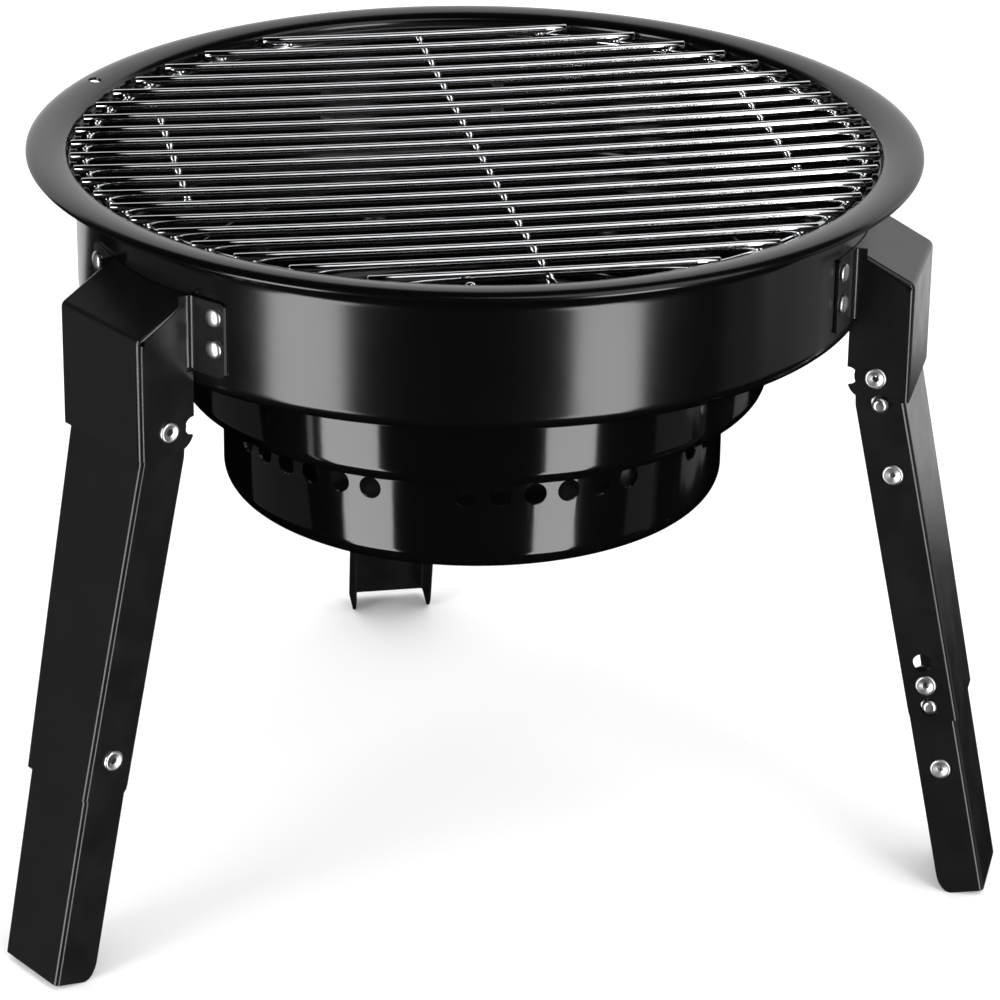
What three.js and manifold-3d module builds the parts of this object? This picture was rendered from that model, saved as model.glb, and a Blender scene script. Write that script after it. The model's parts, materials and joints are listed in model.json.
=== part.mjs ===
// Portable tabletop charcoal grill: a telescoping three-stage bowl on three folding sheet-metal legs.
// Millimetres, +Z up. The bowl's axis is the Z axis and the back leg is on +Y. The origin is the centre
// of the fire pan's flat underside. Shapes are drawn with the ground at z = 0 and shifted down at the end.
import * as THREE from 'three';
import Module from 'manifold-3d';
import { mergeVertices } from 'three/addons/utils/BufferGeometryUtils.js';

const wasm = await Module();
wasm.setup();

// ---- driving dimensions ----------------------------------------------------------------------
const BOWL_SHEET = 1.0;
const LEG_SHEET = 1.2;
const FIT_GAP = 0.3;
const ROUND_STEPS = 48;

// legs
const LEG_AZIMUTHS_DEG = [90, 208.6, 336.1];
const LEG_SPLAY_DEG = 11.5;
const HIP_RADIUS = 184.4;
const MID_PIVOT_SPACING = 148.5;
const LOWER_REACH = 105;
const CHANNEL_DEPTH = 21.5;
const MID_TOP_HALF_WIDTH = 27.2;
const MID_BOTTOM_HALF_WIDTH = 22.8;
const LOWER_TOP_HALF_WIDTH = 21.2;
const LOWER_BOTTOM_HALF_WIDTH = 19.8;
const HIP_INSET = 10.4;
const KNEE_INSET = 11.6;
const LOWER_CHANNEL_DEPTH = 20;
const LOWER_FACE_OFFSET = 10.1;
const MID_WEB_START = 11;
const MID_WEB_OVERRUN = 18.6;
const BUTTON_REACH_HIP = 12.2;
const BUTTON_REACH_KNEE = 11;
const HIP_SPRING_SPAN = 34;
const KNEE_SPRING_SPAN = 31.2;
const PIVOT_SHANK = 2.4;
const SPRING_SHANK = 1.5;
const BUTTON_RADIUS = 3.1;
const BUTTON_HOLE_RADIUS = 3.6;

// heights: the foot's inner corner touches the ground, and the bowl hangs from the hips
const SPLAY = THREE.MathUtils.degToRad(LEG_SPLAY_DEG);
const FOOT_INNER = LOWER_CHANNEL_DEPTH - LOWER_FACE_OFFSET - 4.5;
const KNEE_HEIGHT = LOWER_REACH * Math.cos(SPLAY) + FOOT_INNER * Math.sin(SPLAY);
const KNEE_X = HIP_INSET - KNEE_INSET;
const HIP_HEIGHT = KNEE_HEIGHT + MID_PIVOT_SPACING * Math.cos(SPLAY) - KNEE_X * Math.sin(SPLAY);
const RIM_HEIGHT = HIP_HEIGHT + 82;
const KNEE_RADIUS = HIP_RADIUS + MID_PIVOT_SPACING * Math.sin(SPLAY) + KNEE_X * Math.cos(SPLAY);

// bowl radii, and heights measured down from the rim's outer edge
const RIM_RADIUS = 195;
const BAND_RADIUS = 174;
const BAND_BOTTOM = -67.3;
const MIDDLE_RADIUS = 131;
const MIDDLE_BOTTOM = -110.7;
const PAN_RADIUS = 111.5;
const PAN_BOTTOM = -157;
const LEDGE = -4.6;
const VENT_GROUPS = 6;
const VENTS_PER_GROUP = 6;
const VENT_PITCH_DEG = 7.7;
const VENT_START_DEG = 277.5;
const VENT_HEIGHT = -121.5;
const HANG_HOLE_AZIMUTH = 147;
const HANG_HOLE_REACH = 186.2;
const HANG_HOLE_RADIUS = 3;

// bracket, measured from the rim's outer edge
const BRACKET_FACE = 199;
const BRACKET_HALF_WIDTH = 28.8;
const BRACKET_TOP = -38.3;
const BRACKET_SHOULDER = -25;
const BRACKET_BOTTOM = -92.3;
const TAB_TOP = -23.8;
const TAB_BOTTOM = -56.6;
const TAB_REACH = 47;
const TAB_RIVET_OFFSET = 41.6;
const TAB_RIVET_HEIGHTS = [-30.3, -44.3];

// grates
const BAR_COUNT = 20;
const BAR_PITCH = 16.7;
const BAR_RADIUS = 2;
const GRATE_RADIUS = 176;
const GRATE_RING_RADIUS = 169.5;
const CROSS_WIRE_X = 2;
const SIDE_WIRE_X = [-131, 134];
const SIDE_WIRE_BARS = 7;
const RING_JOINT_AZIMUTH = 259.1;
const RING_JOINT_RADIUS = 2.9;
const COAL_BAR_COUNT = 11;
const COAL_BAR_PITCH = 20;
const COAL_RING_RADIUS = 113;
const COAL_WIRE_RADIUS = 1.5;

// ---- finishes ----------------------------------------------------------------------------------
const finish = (color, roughness, metalness) =>
  new THREE.MeshStandardMaterial({ color, roughness, metalness });
const ENAMEL = finish(0x101113, 0.15, 0.1);
const POWDER_COAT = finish(0x1d1e20, 0.5, 0.1);
const CHROME = finish(0xd8dadd, 0.15, 1);
const RIVET_METAL = finish(0xc9cbce, 0.3, 1);
const SPRING_STEEL = finish(0x9a9c9f, 0.35, 1);

// ---- solid helpers -----------------------------------------------------------------------------
function solid(geometry) {
  const plain = geometry.clone();
  plain.deleteAttribute('normal');
  plain.deleteAttribute('uv');
  const merged = mergeVertices(plain.index ? plain.toNonIndexed() : plain, 1e-4);
  return new wasm.Manifold(new wasm.Mesh({
    numProp: 3,
    vertProperties: new Float32Array(merged.attributes.position.array),
    triVerts: new Uint32Array(merged.index.array),
  }));
}

function geometryOf(manifold) {
  const mesh = manifold.getMesh();
  const geometry = new THREE.BufferGeometry();
  geometry.setAttribute('position', new THREE.BufferAttribute(mesh.vertProperties, 3));
  geometry.setIndex(new THREE.BufferAttribute(mesh.triVerts, 1));
  return geometry.toNonIndexed();
}

const moved = (geometry, matrix) => geometry.clone().applyMatrix4(matrix);
const translation = (x, y, z) => new THREE.Matrix4().makeTranslation(x, y, z);
const join = (solids) => solids.reduce((whole, next) => whole.add(next));
const cutAll = (body, tools) => tools.reduce((rest, tool) => rest.subtract(tool), body);

// turned about Z from [radius, height] pairs that run anticlockwise round the section
function turned(pairs, steps = ROUND_STEPS) {
  const points = pairs.map(([radius, height]) => new THREE.Vector2(radius, height));
  return new THREE.LatheGeometry(points, steps).rotateX(Math.PI / 2);
}

const closedRing = (pairs, steps) => turned([...pairs, pairs[0]], steps);

// a flat outline of [x, z] pairs made `width` thick along Y, centred on y = 0
function plateAcross(outline, width) {
  const shape = new THREE.Shape(outline.map(([x, z]) => new THREE.Vector2(x, z)));
  return new THREE.ExtrudeGeometry(shape, { depth: width, bevelEnabled: false })
    .rotateX(Math.PI / 2)
    .translate(0, width / 2, 0);
}

// a wedge along X whose half-width changes from the top height to the bottom height
function wedge(topHalf, topZ, bottomHalf, bottomZ, fromX, toX) {
  const slope = (topHalf - bottomHalf) / (topZ - bottomZ);
  const high = topZ + 40;
  const low = bottomZ - 40;
  const highHalf = topHalf + slope * (high - topZ);
  const lowHalf = bottomHalf + slope * (low - bottomZ);
  const shape = new THREE.Shape([
    new THREE.Vector2(-lowHalf, low),
    new THREE.Vector2(lowHalf, low),
    new THREE.Vector2(highHalf, high),
    new THREE.Vector2(-highHalf, high),
  ]);
  const basis = new THREE.Matrix4().makeBasis(
    new THREE.Vector3(0, 1, 0), new THREE.Vector3(0, 0, 1), new THREE.Vector3(1, 0, 0));
  return new THREE.ExtrudeGeometry(shape, { depth: toX - fromX, bevelEnabled: false })
    .applyMatrix4(basis)
    .translate(fromX, 0, 0);
}

const pinHole = (radius, length, x, y, z, steps = 8) =>
  new THREE.CylinderGeometry(radius, radius, length, steps).translate(x, y, z);

// points on an arc in the XZ plane, angles in degrees from +X towards +Z
function arc(centreX, centreZ, radius, fromDeg, toDeg, steps) {
  return Array.from({ length: steps + 1 }, (_, i) => {
    const angle = THREE.MathUtils.degToRad(fromDeg + ((toDeg - fromDeg) * i) / steps);
    return [centreX + radius * Math.cos(angle), centreZ + radius * Math.sin(angle)];
  });
}

// a round wire from one point to another
function wire(from, to, radius, sides) {
  const path = new THREE.Vector3().subVectors(to, from);
  const turn = new THREE.Quaternion().setFromUnitVectors(
    new THREE.Vector3(0, 1, 0), path.clone().normalize());
  const middle = new THREE.Vector3().addVectors(from, to).multiplyScalar(0.5);
  return new THREE.CylinderGeometry(radius, radius, path.length(), sides)
    .applyQuaternion(turn)
    .translate(middle.x, middle.y, middle.z);
}

const wireRing = (radius, wireRadius, height, sides, steps) =>
  new THREE.TorusGeometry(radius, wireRadius, sides, steps).translate(0, 0, height);

// ---- the bowl ----------------------------------------------------------------------------------
const up = (height) => RIM_HEIGHT + height;

// a sheet section: an outer line, and the same line stepped in by the sheet, joined into a ring
function sheetRing(outer, inner) {
  return closedRing([...outer, ...inner.reverse()].map(([radius, height]) => [radius, up(height)]));
}

function upperRing() {
  const t = BOWL_SHEET;
  const corner = 8;
  const outer = [
    [MIDDLE_RADIUS + 0.6, BAND_BOTTOM],
    [BAND_RADIUS - corner, BAND_BOTTOM],
    ...arc(BAND_RADIUS - corner, BAND_BOTTOM + corner, corner, -60, 0, 2),
    [BAND_RADIUS, -12],
    [178, LEDGE - 2.2],
    [178.4, -2.4],
    [188, 0.5],
    [192.6, -0.1],
    [RIM_RADIUS - 0.6, -1.5],
  ];
  const inner = [
    [MIDDLE_RADIUS + 0.6, BAND_BOTTOM + t],
    [BAND_RADIUS - corner, BAND_BOTTOM + t],
    ...arc(BAND_RADIUS - corner, BAND_BOTTOM + corner, corner - t, -60, 0, 2),
    [BAND_RADIUS - t, LEDGE - 1.2],
    [BAND_RADIUS - t + 0.2, LEDGE],
    [177, LEDGE],
    [177.4, -1.4],
    [188, 1.7],
    [193, 0.9],
    [RIM_RADIUS, -0.6],
  ];
  const holes = [];
  forEachTabRivet((azimuth, y, height) => {
    holes.push(moved(crosswiseHole(2.3, BAND_RADIUS, y, height), aboutZ(azimuth)));
  });
  const hangHole = new THREE.CylinderGeometry(HANG_HOLE_RADIUS, HANG_HOLE_RADIUS, 12, 10).rotateX(Math.PI / 2);
  hangHole.translate(HANG_HOLE_REACH, 0, up(0));
  holes.push(moved(hangHole, aboutZ(HANG_HOLE_AZIMUTH)));
  return cutAll(solid(sheetRing(outer, inner)), holes.map(solid));
}

// one telescoping stage: a lip that hangs on the floor above, a wall, and a rounded foot
function stage(radius, lipTop, bottom, floorRadius, corner) {
  const t = BOWL_SHEET;
  const lip = radius + 7;
  const outer = [
    [floorRadius, bottom],
    [radius - corner, bottom],
    ...arc(radius - corner, bottom + corner, corner, -60, 0, 2),
    [radius, lipTop - t],
    [lip, lipTop - t],
  ];
  const inner = [
    [floorRadius, bottom + t],
    [radius - corner, bottom + t],
    ...arc(radius - corner, bottom + corner, corner - t, -60, 0, 2),
    [radius - t, lipTop],
    [lip, lipTop],
  ];
  return { outer, inner };
}

function middleRing() {
  const lipTop = BAND_BOTTOM + 2 * BOWL_SHEET + FIT_GAP;
  const { outer, inner } = stage(MIDDLE_RADIUS, lipTop, MIDDLE_BOTTOM, PAN_RADIUS + 0.6, 8);
  return solid(sheetRing(outer, inner));
}

function firePan() {
  const lipTop = MIDDLE_BOTTOM + 2 * BOWL_SHEET + FIT_GAP;
  const { outer, inner } = stage(PAN_RADIUS, lipTop, PAN_BOTTOM, 0, 9);
  const section = [...outer, ...inner.reverse()].map(([radius, height]) => [radius, up(height)]);
  const vents = [];
  for (let group = 0; group < VENT_GROUPS; group += 1) {
    const centre = VENT_START_DEG + (group * 360) / VENT_GROUPS;
    for (let hole = 0; hole < VENTS_PER_GROUP; hole += 1) {
      const azimuth = centre + (hole - (VENTS_PER_GROUP - 1) / 2) * VENT_PITCH_DEG;
      vents.push(moved(radialHole(5, PAN_RADIUS, VENT_HEIGHT), aboutZ(azimuth)));
    }
  }
  return cutAll(solid(turned(section)), vents.map(solid));
}

const aboutZ = (degrees) => new THREE.Matrix4().makeRotationZ(THREE.MathUtils.degToRad(degrees));

// a hole along X through the wall at this radius
const radialHole = (radius, wall, height, steps = 6) =>
  new THREE.CylinderGeometry(radius, radius, 12, steps).rotateZ(Math.PI / 2)
    .translate(wall, 0, up(height));

// the azimuth at which a rivet at this sideways offset stands square on the band
const tabTurn = (offset) => THREE.MathUtils.radToDeg(Math.asin(offset / BAND_RADIUS));

function crosswiseHole(radius, wall, offset, height) {
  return moved(radialHole(radius, wall, height), aboutZ(tabTurn(offset)));
}

function forEachTabRivet(visit) {
  LEG_AZIMUTHS_DEG.forEach((azimuth, leg) => {
    [-1, 1].forEach((side) => {
      TAB_RIVET_HEIGHTS.forEach((height, row) => {
        visit(azimuth, side * TAB_RIVET_OFFSET, height, leg, side, row);
      });
    });
  });
}

// ---- grates --------------------------------------------------------------------------------------
function parallelBars(count, pitch, reach, radius, height) {
  return Array.from({ length: count }, (_, i) => {
    const y = (i - (count - 1) / 2) * pitch;
    const half = Math.sqrt(reach * reach - (Math.abs(y) + radius) ** 2);
    return wire(new THREE.Vector3(-half, y, height), new THREE.Vector3(half, y, height), radius, 6);
  });
}

function cookingGrate() {
  const barHeight = up(LEDGE + FIT_GAP + BAR_RADIUS);
  const under = barHeight - 2 * BAR_RADIUS + 0.6;
  const bars = parallelBars(BAR_COUNT, BAR_PITCH, GRATE_RADIUS, BAR_RADIUS, barHeight);
  const ring = wireRing(GRATE_RING_RADIUS, BAR_RADIUS, under, 6, 48);
  const crossWire = (x, from, to) =>
    wire(new THREE.Vector3(x, from, under), new THREE.Vector3(x, to, under), BAR_RADIUS, 6);
  const crossHalf = Math.sqrt(GRATE_RING_RADIUS ** 2 - CROSS_WIRE_X ** 2);
  const longWire = crossWire(CROSS_WIRE_X, -crossHalf, crossHalf);
  // each short side wire ties seven bars, centred on the bar just behind the middle
  const sideMiddle = BAR_PITCH / 2;
  const sideHalf = ((SIDE_WIRE_BARS - 1) / 2) * BAR_PITCH + BAR_RADIUS;
  const sideWires = SIDE_WIRE_X.map((x) => crossWire(x, sideMiddle - sideHalf, sideMiddle + sideHalf));
  const ringJoint = moved(
    new THREE.SphereGeometry(RING_JOINT_RADIUS, 8, 6).translate(GRATE_RING_RADIUS, 0, under + 0.6),
    aboutZ(RING_JOINT_AZIMUTH));
  return join([...bars, ring, longWire, ...sideWires, ringJoint].map(solid));
}

function charcoalGrate() {
  const lipTop = MIDDLE_BOTTOM + 2 * BOWL_SHEET + FIT_GAP;
  const ringHeight = up(lipTop + FIT_GAP + COAL_WIRE_RADIUS);
  const barHeight = ringHeight + 2 * COAL_WIRE_RADIUS - 0.5;
  const bars = parallelBars(
    COAL_BAR_COUNT, COAL_BAR_PITCH, COAL_RING_RADIUS + 1.5, COAL_WIRE_RADIUS, barHeight);
  const ring = wireRing(COAL_RING_RADIUS, COAL_WIRE_RADIUS, ringHeight, 6, 36);
  return join([...bars, ring].map(solid));
}

// ---- legs, in a frame with X out from the bowl's axis, Y sideways and Z up -------------------------
// bracket: a folded box with a sloping shoulder, two side cheeks, and a riveted tab on each side
function bracket() {
  const t = LEG_SHEET;
  const reach = BAND_RADIUS + FIT_GAP;
  const inner = 170;
  const cornerRadius = 9;
  const outline = [
    [BRACKET_FACE, up(BRACKET_TOP)],
    [inner, up(BRACKET_SHOULDER + 2)],
    [inner, up(-80)],
    ...arc(HIP_RADIUS - 3.4, up(BRACKET_BOTTOM) + cornerRadius, cornerRadius, 180, 270, 4),
    [BRACKET_FACE, up(BRACKET_BOTTOM)],
  ].reverse();
  const hollow = [
    [BRACKET_FACE - t, up(BRACKET_TOP) - 0.6],
    [inner - 5, up(BRACKET_SHOULDER) + 3.2],
    [inner - 5, up(BRACKET_BOTTOM) - 10],
    [BRACKET_FACE - t, up(BRACKET_BOTTOM) - 10],
  ].reverse();
  const shell = solid(plateAcross(outline, 2 * BRACKET_HALF_WIDTH))
    .subtract(solid(plateAcross(hollow, 2 * (BRACKET_HALF_WIDTH - t))));
  const folded = [latchPoint(0), latchPoint(LEG_SPLAY_DEG + 90)];
  const openings = [
    ...folded.map(([x, z]) => pinHole(BUTTON_HOLE_RADIUS, 80, x, 0, z)),
    pinHole(2.8, 80, HIP_RADIUS, 0, HIP_HEIGHT),
  ].map(solid);
  const tabs = [-1, 1].map((side) => bracketTab(side, reach));
  const drum = solid(turned([[0, up(-170)], [reach, up(-170)], [reach, up(20)], [0, up(20)]]));
  return join([cutAll(shell.subtract(drum), openings), ...tabs]);
}

// where the hip button stands when the leg has turned by this many degrees from open
function latchPoint(foldDeg) {
  const angle = THREE.MathUtils.degToRad(LEG_SPLAY_DEG - foldDeg);
  return [
    HIP_RADIUS + BUTTON_REACH_HIP * Math.sin(angle),
    HIP_HEIGHT - BUTTON_REACH_HIP * Math.cos(angle),
  ];
}

function bracketTab(side, reach) {
  const sleeve = solid(closedRing([
    [reach, up(TAB_BOTTOM)],
    [reach + LEG_SHEET, up(TAB_BOTTOM)],
    [reach + LEG_SHEET, up(TAB_TOP)],
    [reach, up(TAB_TOP)],
  ]));
  const from = BRACKET_HALF_WIDTH - LEG_SHEET;
  const width = TAB_REACH - from;
  const block = new THREE.BoxGeometry(60, width, 80)
    .translate(170, side * (from + width / 2), up(-45));
  const holes = TAB_RIVET_HEIGHTS.map((height) =>
    solid(crosswiseHole(2.3, BAND_RADIUS, side * TAB_RIVET_OFFSET, height)));
  return cutAll(sleeve.intersect(solid(block)), holes);
}

// a leg channel in its own frame: X out through the face, Z up along the leg, pivot at the origin
function channel(outline, faceX, topHalf, topZ, bottomHalf, bottomZ) {
  const t = LEG_SHEET;
  const body = solid(plateAcross(outline, 80))
    .intersect(solid(wedge(topHalf, topZ, bottomHalf, bottomZ, -60, 60)));
  const room = solid(wedge(topHalf - t, topZ, bottomHalf - t, bottomZ, -60, faceX - t));
  return body.subtract(room);
}

const onSplay = (radius, height) => new THREE.Matrix4()
  .makeTranslation(radius, 0, height)
  .multiply(new THREE.Matrix4().makeRotationY(-SPLAY));

function midSection() {
  const face = HIP_INSET;
  const ear = 9.6;
  const end = -(MID_PIVOT_SPACING + MID_WEB_OVERRUN);
  const outline = [
    [face, -MID_WEB_START],
    [face - 1.7, -MID_WEB_START],
    ...arc(0, 0, ear, -30, 190, 8),
    [face - CHANNEL_DEPTH, -12],
    [face - CHANNEL_DEPTH, end + 7],
    [face - CHANNEL_DEPTH + 5, end],
    [face, end],
  ];
  const body = channel(outline, face, MID_TOP_HALF_WIDTH, 0, MID_BOTTOM_HALF_WIDTH, -MID_PIVOT_SPACING);
  const side = MID_TOP_HALF_WIDTH / 2 + 10;
  const openings = [
    pinHole(2.8, 80, 0, 0, 0),
    pinHole(2.8, 80, KNEE_X, 0, -MID_PIVOT_SPACING),
    pinHole(BUTTON_HOLE_RADIUS, 30, 0, -side, -BUTTON_REACH_HIP),
    pinHole(1.9, 30, 0, -side, -BUTTON_REACH_HIP - HIP_SPRING_SPAN),
    pinHole(BUTTON_HOLE_RADIUS, 30, KNEE_X, -side, -MID_PIVOT_SPACING - BUTTON_REACH_KNEE),
    pinHole(BUTTON_HOLE_RADIUS, 30, KNEE_X, -side, -MID_PIVOT_SPACING + BUTTON_REACH_KNEE),
  ];
  return cutAll(body, openings.map(solid));
}

function lowerSection() {
  const face = LOWER_FACE_OFFSET;
  const back = face - LOWER_CHANNEL_DEPTH;
  const outline = [
    [face, -1],
    [face - 1.4, -1],
    ...arc(0, 0, 8.6, 0, 190, 7),
    [back, -10],
    [back, -LOWER_REACH + 9],
    [back + 1.3, -LOWER_REACH + 4],
    [back + 4.5, -LOWER_REACH],
    [face, -LOWER_REACH],
  ];
  const body = channel(outline, face, LOWER_TOP_HALF_WIDTH, 0, LOWER_BOTTOM_HALF_WIDTH, -LOWER_REACH);
  const openings = [
    pinHole(2.8, 80, 0, 0, 0),
    pinHole(BUTTON_HOLE_RADIUS, 30, 0, -20, -BUTTON_REACH_KNEE),
    pinHole(1.9, 30, 0, -20, -BUTTON_REACH_KNEE - KNEE_SPRING_SPAN),
  ];
  return cutAll(body, openings.map(solid));
}

// a flat spring riveted at its lower end, with a domed button at its free end
function buttonSpring(inside, outside, span) {
  const strip = new THREE.BoxGeometry(7, 0.6, span + 9).translate(0, 0, span / 2);
  const height = outside + 2.4;
  const dome = turned([
    [0, -0.2], [BUTTON_RADIUS, -0.2], [BUTTON_RADIUS, height - 1.8], [2.2, height - 0.5], [0, height],
  ], 8).rotateX(Math.PI / 2).translate(0, 0, span);
  const hole = pinHole(1.9, 10, 0, 0, 0, 8);
  return join([solid(strip), solid(dome)]).subtract(solid(hole)).translate([0, inside, 0]);
}

// ---- rivets, drawn with the head on +Z and the joined sheets below z = 0 ---------------------------
function domedRivet(headRadius, headHeight, shank, grip, tailRadius) {
  return turned([
    [0, -grip - 0.9],
    [tailRadius, -grip - 0.9],
    [tailRadius, -grip],
    [shank, -grip],
    [shank, 0],
    [headRadius, 0],
    [headRadius * 0.72, headHeight * 0.75],
    [0, headHeight],
  ], 8);
}

// a tubular rivet: a rolled head with a dished bore, its shank and the tail that closes it
function hollowRivet(grip, shank, tailRadius) {
  return turned([
    [0, -grip - 0.9],
    [tailRadius, -grip - 0.9],
    [tailRadius, -grip],
    [shank, -grip],
    [shank, 0],
    [4.7, 0],
    [4.3, 0.9],
    [2.2, 1.2],
    [shank - 0.7, -0.6],
    [0, -0.6],
  ], 8);
}

// stands a rivet on a cheek of a leg: side +1 or -1 along Y, its seat at this distance from the middle
function onCheek(rivet, side, x, distance, z) {
  return rivet.clone().rotateX(-side * Math.PI / 2).translate(x, side * distance, z);
}

// half-width of a channel's outer face at a depth below its pivot
const midHalfWidth = (depth) =>
  MID_TOP_HALF_WIDTH + ((MID_BOTTOM_HALF_WIDTH - MID_TOP_HALF_WIDTH) * depth) / MID_PIVOT_SPACING;
const lowerHalfWidth = (depth) =>
  LOWER_TOP_HALF_WIDTH + ((LOWER_BOTTOM_HALF_WIDTH - LOWER_TOP_HALF_WIDTH) * depth) / LOWER_REACH;

// ---- assembly ----------------------------------------------------------------------------------------
const group = new THREE.Group();
group.name = 'portable_tabletop_grill';

function add(name, shape, material, matrix) {
  const geometry = shape.isBufferGeometry ? geometryOf(solid(shape)) : geometryOf(shape);
  if (matrix) {
    geometry.applyMatrix4(matrix);
  }
  geometry.translate(0, 0, -up(PAN_BOTTOM));
  geometry.computeVertexNormals();
  const mesh = new THREE.Mesh(geometry, material);
  mesh.name = name;
  group.add(mesh);
}

add('upper_ring', upperRing(), ENAMEL);
add('middle_ring', middleRing(), ENAMEL);
add('fire_pan', firePan(), ENAMEL);
add('cooking_grate', cookingGrate(), CHROME);
add('charcoal_grate', charcoalGrate(), CHROME);

const bracketShape = bracket();
const midShape = midSection();
const lowerShape = lowerSection();
const hipGrip = 2 * LEG_SHEET + 0.9;
const kneeGrip = 2 * LEG_SHEET + 0.9;

LEG_AZIMUTHS_DEG.forEach((azimuth, index) => {
  const leg = index + 1;
  const around = aboutZ(azimuth);
  const hip = around.clone().multiply(onSplay(HIP_RADIUS, HIP_HEIGHT));
  const knee = around.clone().multiply(onSplay(KNEE_RADIUS, KNEE_HEIGHT));

  add(`leg_bracket_${leg}`, bracketShape, POWDER_COAT, around);
  add(`leg_mid_${leg}`, midShape, POWDER_COAT, hip);
  add(`leg_lower_${leg}`, lowerShape, POWDER_COAT, knee);

  [['left', 1], ['right', -1]].forEach(([sideName, side]) => {
    const seat = BRACKET_HALF_WIDTH + 0.25;
    const hipRivet = onCheek(hollowRivet(hipGrip + 0.3, PIVOT_SHANK, 4), side, HIP_RADIUS, seat, HIP_HEIGHT);
    add(`hip_rivet_${leg}_${sideName}`, hipRivet, RIVET_METAL, around);
    const kneeSeat = midHalfWidth(MID_PIVOT_SPACING) + 0.35;
    const kneeShape = hollowRivet(kneeGrip + 0.4, PIVOT_SHANK, 4);
    const kneeRivet = onCheek(kneeShape, side, KNEE_X, kneeSeat, -MID_PIVOT_SPACING);
    add(`knee_rivet_${leg}_${sideName}`, kneeRivet, RIVET_METAL, hip);
  });

  const hipFlank = midHalfWidth(BUTTON_REACH_HIP + HIP_SPRING_SPAN);
  const hipProud = BRACKET_HALF_WIDTH - hipFlank + 3;
  const hipSpring = buttonSpring(-hipFlank + LEG_SHEET + 1.5, hipProud, HIP_SPRING_SPAN);
  add(`hip_button_spring_${leg}`, hipSpring, SPRING_STEEL,
    hip.clone().multiply(translation(0, 0, -BUTTON_REACH_HIP - HIP_SPRING_SPAN)));
  const kneeFlank = lowerHalfWidth(BUTTON_REACH_KNEE + KNEE_SPRING_SPAN);
  const kneeSpring = buttonSpring(-kneeFlank + LEG_SHEET + 1.0, 3.2, KNEE_SPRING_SPAN);
  add(`knee_button_spring_${leg}`, kneeSpring, SPRING_STEEL,
    knee.clone().multiply(translation(0, 0, -BUTTON_REACH_KNEE - KNEE_SPRING_SPAN)));

  const springRivet = (seat, grip, depth) =>
    onCheek(hollowRivet(grip, SPRING_SHANK, 2.6), -1, 0, seat, -depth);
  add(`hip_spring_rivet_${leg}`, springRivet(hipFlank + 0.3, 3.6, BUTTON_REACH_HIP + HIP_SPRING_SPAN),
    RIVET_METAL, hip);
  add(`knee_spring_rivet_${leg}`, springRivet(kneeFlank + 0.3, 3.0, BUTTON_REACH_KNEE + KNEE_SPRING_SPAN),
    RIVET_METAL, knee);
});

const tabNames = { '-1': 'right', 1: 'left' };
forEachTabRivet((azimuth, y, height, leg, side, row) => {
  const rivet = domedRivet(4, 1.9, 1.9, BOWL_SHEET + LEG_SHEET + 1.1, 3.2)
    .rotateY(Math.PI / 2)
    .translate(BAND_RADIUS + LEG_SHEET + FIT_GAP + 0.35, 0, up(height));
  const place = aboutZ(azimuth + tabTurn(y));
  const rowName = row === 0 ? 'top' : 'bottom';
  add(`bracket_rivet_${leg + 1}_${tabNames[side]}_${rowName}`, rivet, RIVET_METAL, place);
});

export default group;
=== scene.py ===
"""Looks for the portable tabletop grill: fine meshes, finishes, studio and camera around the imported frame."""
import json
import math

import bmesh
import bpy
from mathutils import Matrix, Vector

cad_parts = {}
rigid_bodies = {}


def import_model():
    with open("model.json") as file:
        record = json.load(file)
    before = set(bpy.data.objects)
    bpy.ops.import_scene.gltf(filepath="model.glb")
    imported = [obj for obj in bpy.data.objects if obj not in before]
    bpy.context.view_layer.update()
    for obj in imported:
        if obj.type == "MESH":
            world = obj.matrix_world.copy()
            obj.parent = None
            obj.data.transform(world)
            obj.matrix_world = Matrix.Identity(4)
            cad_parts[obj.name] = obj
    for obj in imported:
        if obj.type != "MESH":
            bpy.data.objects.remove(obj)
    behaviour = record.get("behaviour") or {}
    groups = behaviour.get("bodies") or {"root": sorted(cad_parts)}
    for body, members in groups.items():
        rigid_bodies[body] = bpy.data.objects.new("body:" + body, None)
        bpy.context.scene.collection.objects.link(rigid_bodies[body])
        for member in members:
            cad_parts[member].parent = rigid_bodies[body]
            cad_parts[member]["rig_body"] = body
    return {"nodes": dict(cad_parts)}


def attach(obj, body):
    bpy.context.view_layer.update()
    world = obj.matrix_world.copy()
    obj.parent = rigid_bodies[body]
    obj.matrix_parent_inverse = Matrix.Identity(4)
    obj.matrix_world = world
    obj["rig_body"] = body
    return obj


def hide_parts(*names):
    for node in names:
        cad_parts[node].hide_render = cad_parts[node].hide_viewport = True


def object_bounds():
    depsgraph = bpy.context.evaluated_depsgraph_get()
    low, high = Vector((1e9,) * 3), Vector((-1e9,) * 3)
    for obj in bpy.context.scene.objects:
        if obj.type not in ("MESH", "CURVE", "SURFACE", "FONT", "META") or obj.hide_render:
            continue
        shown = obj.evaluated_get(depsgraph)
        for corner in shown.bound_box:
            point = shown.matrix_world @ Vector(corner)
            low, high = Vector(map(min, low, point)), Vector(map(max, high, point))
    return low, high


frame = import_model()
CAD_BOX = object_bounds()

MM = 0.001

# ---- dimensions in millimetres; the origin is the middle of the fire pan's underside ------------------
RIM_HEIGHT = 157.0
LEG_AZIMUTHS = (90.0, 208.6, 336.1)
SPLAY = math.radians(11.5)
BOWL_SHEET = 1.0
LEG_SHEET = 1.2

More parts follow.
